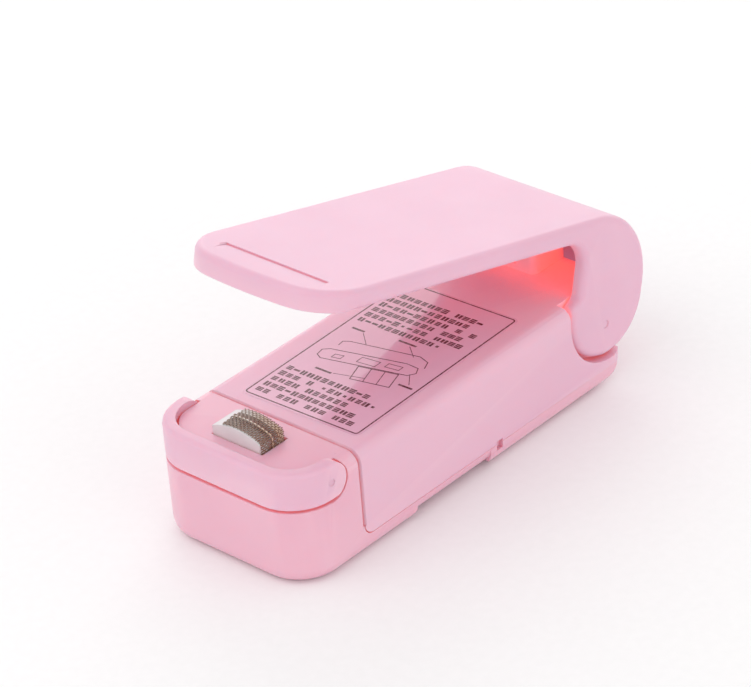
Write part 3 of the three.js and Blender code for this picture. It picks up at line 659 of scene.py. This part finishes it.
def print_diagram(sheet):
    """A plain outline of a clip-shaped sealer biting a bag, with leader lines."""
    line = 0.2 * MM

    def point(x, y):
        return (x * MM, y * MM)

    lower_jaw = [point(-10.5, -5.2), point(-10.8, -3.4), point(-9.6, -2.4), point(5.8, 1.2),
                 point(8.6, 1.0), point(9.4, -0.6), point(8.4, -2.0), point(-9.2, -5.9)]
    upper_jaw = [point(-9.2, -0.6), point(-9.4, 0.9), point(-8.2, 1.6), point(6.4, 4.4),
                 point(8.8, 3.6), point(9.6, 1.6)]
    bag = [point(0.2, -8.6), point(8.2, -7.0), point(6.9, -2.6), point(-1.2, -4.4)]
    sheet.stroke(lower_jaw, line, closed=True)
    sheet.stroke(upper_jaw, line)
    sheet.stroke(bag, line, closed=True)
    for share in (0.33, 0.67):
        top = Vector(bag[3]).lerp(Vector(bag[2]), share)
        foot = Vector(bag[0]).lerp(Vector(bag[1]), share)
        sheet.stroke([top, foot], line * 0.8)
    panels = (((-7.6, -4.6), (-5.8, -3.0)), ((-2.6, -3.3), (1.4, -1.1)), ((3.0, -1.9), (6.0, -0.2)))
    for low, high in panels:
        corners = [point(*low), point(high[0], low[1] + 0.4), point(*high), point(low[0], high[1] - 0.4)]
        sheet.stroke(corners, line * 0.8, closed=True)
    leaders = (((-5.0, 2.4), (-8.0, 5.2)), ((5.4, 3.6), (2.4, 6.2)),
               ((8.6, -1.4), (10.8, -4.4)), ((2.6, -7.0), (-3.6, -8.8)))
    for tip, tail in leaders:
        sheet.stroke([point(*tip), point(*tail)], line * 0.7)
    captions = ((-9.6, 5.7, 3.0), (1.4, 6.8, 4.2), (10.6, -5.2, 3.2), (-5.8, -9.0, 3.8))
    for x, y, width in captions:
        sheet.bar(x * MM, y * MM, width * MM, 0.5 * MM)


def make_label(place, film, ink):
    rng = random.Random(7)
    rows = FlatPrint(FILM - INK, FILM + INK)
    near = -LABEL_LENGTH / 2
    print_rows(rows, rng, near + 2.2 * MM, (1.0, 0.94, 0.8, 1.0, 0.92))
    print_rows(rows, rng, near + 31.4 * MM, (0.86, 1.0, 0.95, 1.0, 0.9, 0.97))
    diagram = FlatPrint(FILM - INK, FILM + INK)
    print_diagram(diagram)
    return [
        make_film(place, film),
        make_border(place, ink),
        rows.add("label_rows", ink, place),
        diagram.add("label_diagram", ink, place @ Matrix.Translation((0, -1.0 * MM, 0))),
    ]


# ---- heater cloth -----------------------------------------------------------------
class ClothSurface:
    """Where the cloth lies: over the crown along X, then down the right end of the block."""

    def __init__(self):
        low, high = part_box("ptfe_cloth")
        block_low, block_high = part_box("ceramic_block")
        self.middle = (block_low.x + block_high.x) / 2
        self.left = low.x
        self.right = high.x
        self.top = high.z
        self.foot = low.z
        self.front = low.y
        self.rear = high.y
        self.radius = CLOTH_RADIUS
        self.fold = 0.9 * MM
        self.ridge_y = (low.y + high.y) / 2 - 0.1 * MM
        self.points = self.path()

    def height(self, x):
        return self.top - self.radius + math.sqrt(self.radius ** 2 - (x - self.middle) ** 2)

    def path(self, steps=60):
        """Points (x, z, distance) over the crown and down the end."""
        end = self.right - THREAD_RADIUS * 1.2
        bend = end - self.fold
        points = []
        for i in range(steps + 1):
            x = self.left + (bend - self.left) * i / steps
            points.append((x, self.height(x)))
        shoulder = self.height(bend)
        for i in range(1, 9):
            angle = math.pi / 2 * i / 8
            points.append((bend + self.fold * math.sin(angle),
                           shoulder - self.fold * (1 - math.cos(angle))))
        lowest = points[-1][1]
        for i in range(1, 13):
            points.append((end, lowest + (self.foot - lowest) * i / 12))
        done, out = 0.0, []
        for i, (x, z) in enumerate(points):
            if i:
                done += math.dist(points[i - 1], (x, z))
            out.append((x, z, done))
        return out

    def at(self, distance, y, lift):
        """A point on the cloth, lifted along its outward normal."""
        path = self.points
        i = min(range(1, len(path)), key=lambda k: abs(path[k][2] - distance))
        low, high = path[i - 1], path[i]
        share = (distance - low[2]) / max(1e-9, high[2] - low[2])
        x = low[0] + (high[0] - low[0]) * share
        z = low[1] + (high[1] - low[1]) * share
        along = Vector((high[0] - low[0], high[1] - low[1])).normalized()
        ridge = RIDGE_HEIGHT * math.exp(-((y - self.ridge_y) / RIDGE_WIDTH) ** 2)
        out = lift + ridge
        return Vector((x - along.y * out, y, z + along.x * out))


def weave(name, lines, material):
    """One set of parallel threads as a single mesh."""
    vertices, faces = [], []
    for points in lines:
        new_vertices, new_faces = tube(points, THREAD_RADIUS, THREAD_SIDES)
        base = len(vertices)
        vertices.extend(new_vertices)
        faces.extend([[base + k for k in face] for face in new_faces])
    return add_mesh(name, vertices, faces, material, smooth=True)


def make_cloth(warp_material, weft_material):
    surface = ClothSurface()
    total = surface.points[-1][2]
    rng = random.Random(11)
    sink = -1.9 * THREAD_RADIUS
    wave = 0.75 * THREAD_RADIUS
    across = int((surface.rear - surface.front - 2 * THREAD_RADIUS) / THREAD_PITCH)
    along = int(total / THREAD_PITCH)
    warp_lines, weft_lines = [], []
    for k in range(across + 1):
        y = surface.front + THREAD_RADIUS + k * THREAD_PITCH
        fray = rng.uniform(0.0, 0.5) * MM
        line = []
        for j in range(along * 3 + 1):
            distance = max(fray, j * THREAD_PITCH / 3)
            over = math.cos(math.pi * (distance / THREAD_PITCH + k))
            line.append(surface.at(min(distance, total), y, sink + wave * over))
        warp_lines.append(line)
    for j in range(along + 1):
        line = []
        for k in range(across * 3 + 1):
            y = surface.front + THREAD_RADIUS + k * THREAD_PITCH / 3
            over = -math.cos(math.pi * (j + k / 3))
            line.append(surface.at(j * THREAD_PITCH, y, sink + wave * over))
        weft_lines.append(line)
    return [weave("cloth_warp", warp_lines, warp_material), weave("cloth_weft", weft_lines, weft_material)]


# ---- stage, light and camera ----------------------------------------------------
def make_floor(material, low):
    half = 6.0
    z = low.z - 0.0001
    floor = add_mesh("floor", [(-half, -half, z), (half, -half, z), (half, half, z), (-half, half, z)],
                     [[0, 1, 2, 3]], material)


def add_area_light(name, target, azimuth, elevation, distance, size, power):
    data = bpy.data.lights.new(name, "AREA")
    data.shape = "DISK"
    data.size = size
    data.energy = power
    light = bpy.data.objects.new(name, data)
    bpy.context.scene.collection.objects.link(light)
    a, e = math.radians(azimuth), math.radians(elevation)
    away = Vector((math.sin(a) * math.cos(e), -math.cos(a) * math.cos(e), math.sin(e)))
    light.location = target + away * distance
    light.rotation_euler = away.to_track_quat("Z", "Y").to_euler()


def make_lights(target):
    world = bpy.data.worlds.new("studio")
    world.use_nodes = True
    background = world.node_tree.nodes["Background"]
    background.inputs["Color"].default_value = (1.0, 1.0, 1.0, 1.0)
    background.inputs["Strength"].default_value = WORLD_LIGHT
    bpy.context.scene.world = world
    for name, *place_and_power in LAMPS:
        add_area_light(name, target, *place_and_power)


def make_camera(low, high):
    a, e, roll = (math.radians(v) for v in (AZIMUTH, ELEVATION, ROLL))
    ahead = Vector((-math.sin(a) * math.cos(e), math.cos(a) * math.cos(e), -math.sin(e)))
    right = Vector((math.cos(a), math.sin(a), 0))
    up = right.cross(ahead)
    right, up = (math.cos(roll) * right + math.sin(roll) * up,
                 -math.sin(roll) * right + math.cos(roll) * up)
    aim = (low + high) / 2 + right * AIM_RIGHT + up * AIM_UP
    data = bpy.data.cameras.new("camera")
    data.sensor_width = 36.0
    data.lens = LENS
    data.clip_start = 0.01
    camera = bpy.data.objects.new("camera", data)
    turn = Matrix((right, up, -ahead)).transposed().to_4x4()
    camera.matrix_world = Matrix.Translation(aim - ahead * DISTANCE) @ turn
    bpy.context.scene.collection.objects.link(camera)
    bpy.context.scene.camera = camera


# ---- the model --------------------------------------------------------------------
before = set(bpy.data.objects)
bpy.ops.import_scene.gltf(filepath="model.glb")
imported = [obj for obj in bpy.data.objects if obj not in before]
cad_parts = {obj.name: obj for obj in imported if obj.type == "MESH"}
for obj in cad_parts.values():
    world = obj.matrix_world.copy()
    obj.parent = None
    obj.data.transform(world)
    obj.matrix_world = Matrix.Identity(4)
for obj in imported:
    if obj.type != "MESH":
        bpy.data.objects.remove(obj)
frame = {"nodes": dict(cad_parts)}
cad_low, cad_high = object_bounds()
nodes = frame["nodes"]

body_pink = moulded_plastic("plastic_body", PINK, PAINTED_WARM_SHADE)
nose_pink = moulded_plastic("plastic_nose", NOSE_PINK, PAINTED_WARM_SHADE, roughness=0.3)
ceramic = glazed_ceramic()
steel = metal("spring_steel", (0.62, 0.62, 0.64, 1.0), 0.27)
nickel = metal("contact_nickel", (0.70, 0.68, 0.64, 1.0), 0.3)
brass = metal("switch_brass", (0.78, 0.56, 0.24, 1.0), 0.3)
rubber = silicone_rubber()
jacket = cell_wrap()
red = coloured_insulation("wire_red", (0.50, 0.03, 0.025, 1.0))
black = coloured_insulation("wire_black", (0.02, 0.02, 0.024, 1.0))
film = label_film(PINK)
ink = printed_ink()
warp = coated_threads("glass_cloth_warp", (0.82, 0.79, 0.76, 1.0), (0.66, 0.48, 0.34, 1.0))
weft = coated_threads("glass_cloth_weft", (0.38, 0.31, 0.26, 1.0), (0.26, 0.12, 0.07, 1.0))

NODE_MATERIALS = {
    "nose_frame": nose_pink,
    "pad_holder": nose_pink,
    "body_shell": body_pink,
    "battery_cover": body_pink,
    "lever_shell": body_pink,
    "bail": body_pink,
    "ceramic_block": ceramic,
    "pressure_pad": rubber,
    "cell_left": jacket,
    "cell_right": jacket,
    "lead_wire_red": red,
    "lead_wire_black": black,
    "front_contact_left": nickel,
    "front_contact_right": nickel,
    "rear_contact": nickel,
    "switch_leaf_left": brass,
    "switch_leaf_right": brass,
}
close_rim = rim_closing_group()
for name in ("nose_frame", "body_shell"):
    nodes[name].modifiers.new("close_rim", "NODES").node_group = close_rim
smoothing = smoothing_group()
for name, obj in nodes.items():
    dress_node(obj, NODE_MATERIALS.get(name, steel), smoothing)

plate_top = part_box("nose_frame")[1].z
nose_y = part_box("nose_frame")[0].y
for piece in make_label(label_place(plate_top, nose_y), film, ink):
    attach(piece, "base")

for cloth in make_cloth(warp, weft):
    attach(cloth, "heater")
    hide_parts("ptfe_cloth")

make_floor(floor_paper(), cad_low)
make_lights((cad_low + cad_high) / 2)
make_camera(cad_low, cad_high)
bpy.context.scene.view_settings.view_transform = "Standard"
